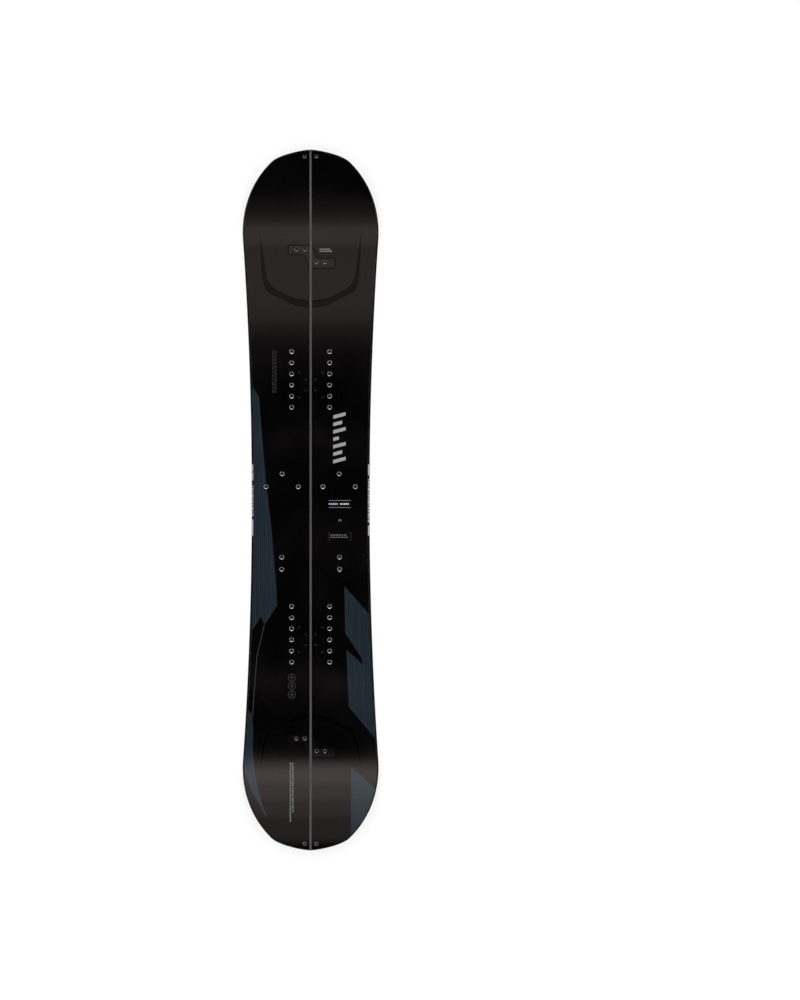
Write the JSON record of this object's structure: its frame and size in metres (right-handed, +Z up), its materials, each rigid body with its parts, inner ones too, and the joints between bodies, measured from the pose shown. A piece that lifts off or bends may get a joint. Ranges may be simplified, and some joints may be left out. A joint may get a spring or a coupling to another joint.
{
  "type": "splitboard",
  "caption": "Snowboard cut lengthwise into two touring halves, with twin tips, steel edges, threaded insert packs and a die-cut base.",
  "frame": {"origin": "on the seam between the halves, at mid length, on the plane that the base rests on", "axes": "+X to the right half seen from above, +Y towards the nose, +Z up through the topsheet"},
  "size_m": [0.305, 1.57, 0.0524],
  "materials": {
    "topsheet_black": "satin moulded nylon topsheet, near black, with slate hairline panels",
    "base_black": "sintered polyethylene base, black, fine stone-grind texture",
    "base_red": "sintered polyethylene base, red die-cut inlay",
    "edge_steel": "ground steel edge",
    "fibreglass": "glass-fibre laminate in clear resin",
    "core_wood": "laminated poplar and paulownia strips",
    "sidewall_black": "black ABS sidewall, milled bevel",
    "sidewall_grey": "grey ABS inner sidewall",
    "spacer_black": "black ABS tip spacer",
    "insert_steel": "stainless threaded insert"
  },
  "bodies": {
    "left_half": {"base_sheet_left": "base_black", "base_inlay_left": "base_red", "edge_outer_left": "edge_steel", "edge_inner_left": "edge_steel", "lower_laminate_left": "fibreglass", "wood_core_left": "core_wood", "sidewall_outer_left": "sidewall_black", "sidewall_inner_left": "sidewall_grey", "nose_spacer_left": "spacer_black", "tail_spacer_left": "spacer_black", "upper_laminate_left": "fibreglass", "topsheet_left": "topsheet_black", "binding_insert_strip_nose_left": "insert_steel", "binding_insert_strip_tail_left": "insert_steel", "touring_insert_front_left": "insert_steel", "touring_insert_rear_inner_left": "insert_steel", "touring_insert_rear_outer_left": "insert_steel", "heel_riser_insert_front_left": "insert_steel", "heel_riser_insert_rear_left": "insert_steel", "hook_insert_nose_inner_left": "insert_steel", "hook_insert_nose_outer_left": "insert_steel", "hook_insert_tail_inner_left": "insert_steel", "hook_insert_tail_outer_left": "insert_steel", "tip_clip_insert_nose_left": "insert_steel", "tip_clip_insert_tail_left": "insert_steel"},
    "right_half": {"base_sheet_right": "base_black", "base_inlay_right": "base_red", "edge_outer_right": "edge_steel", "edge_inner_right": "edge_steel", "lower_laminate_right": "fibreglass", "wood_core_right": "core_wood", "sidewall_outer_right": "sidewall_black", "sidewall_inner_right": "sidewall_grey", "nose_spacer_right": "spacer_black", "tail_spacer_right": "spacer_black", "upper_laminate_right": "fibreglass", "topsheet_right": "topsheet_black", "binding_insert_strip_nose_right": "insert_steel", "binding_insert_strip_tail_right": "insert_steel", "touring_insert_front_right": "insert_steel", "touring_insert_rear_inner_right": "insert_steel", "touring_insert_rear_outer_right": "insert_steel", "heel_riser_insert_front_right": "insert_steel", "heel_riser_insert_rear_right": "insert_steel", "hook_insert_nose_inner_right": "insert_steel", "hook_insert_nose_outer_right": "insert_steel", "hook_insert_tail_inner_right": "insert_steel", "hook_insert_tail_outer_right": "insert_steel", "tip_clip_insert_nose_right": "insert_steel", "tip_clip_insert_tail_right": "insert_steel"}
  },
  "joints": [
    {"name": "split", "type": "slide", "parent": "left_half", "child": "right_half", "axis": [1, 0, 0], "range_m": [0, 0.25]}
  ]
}
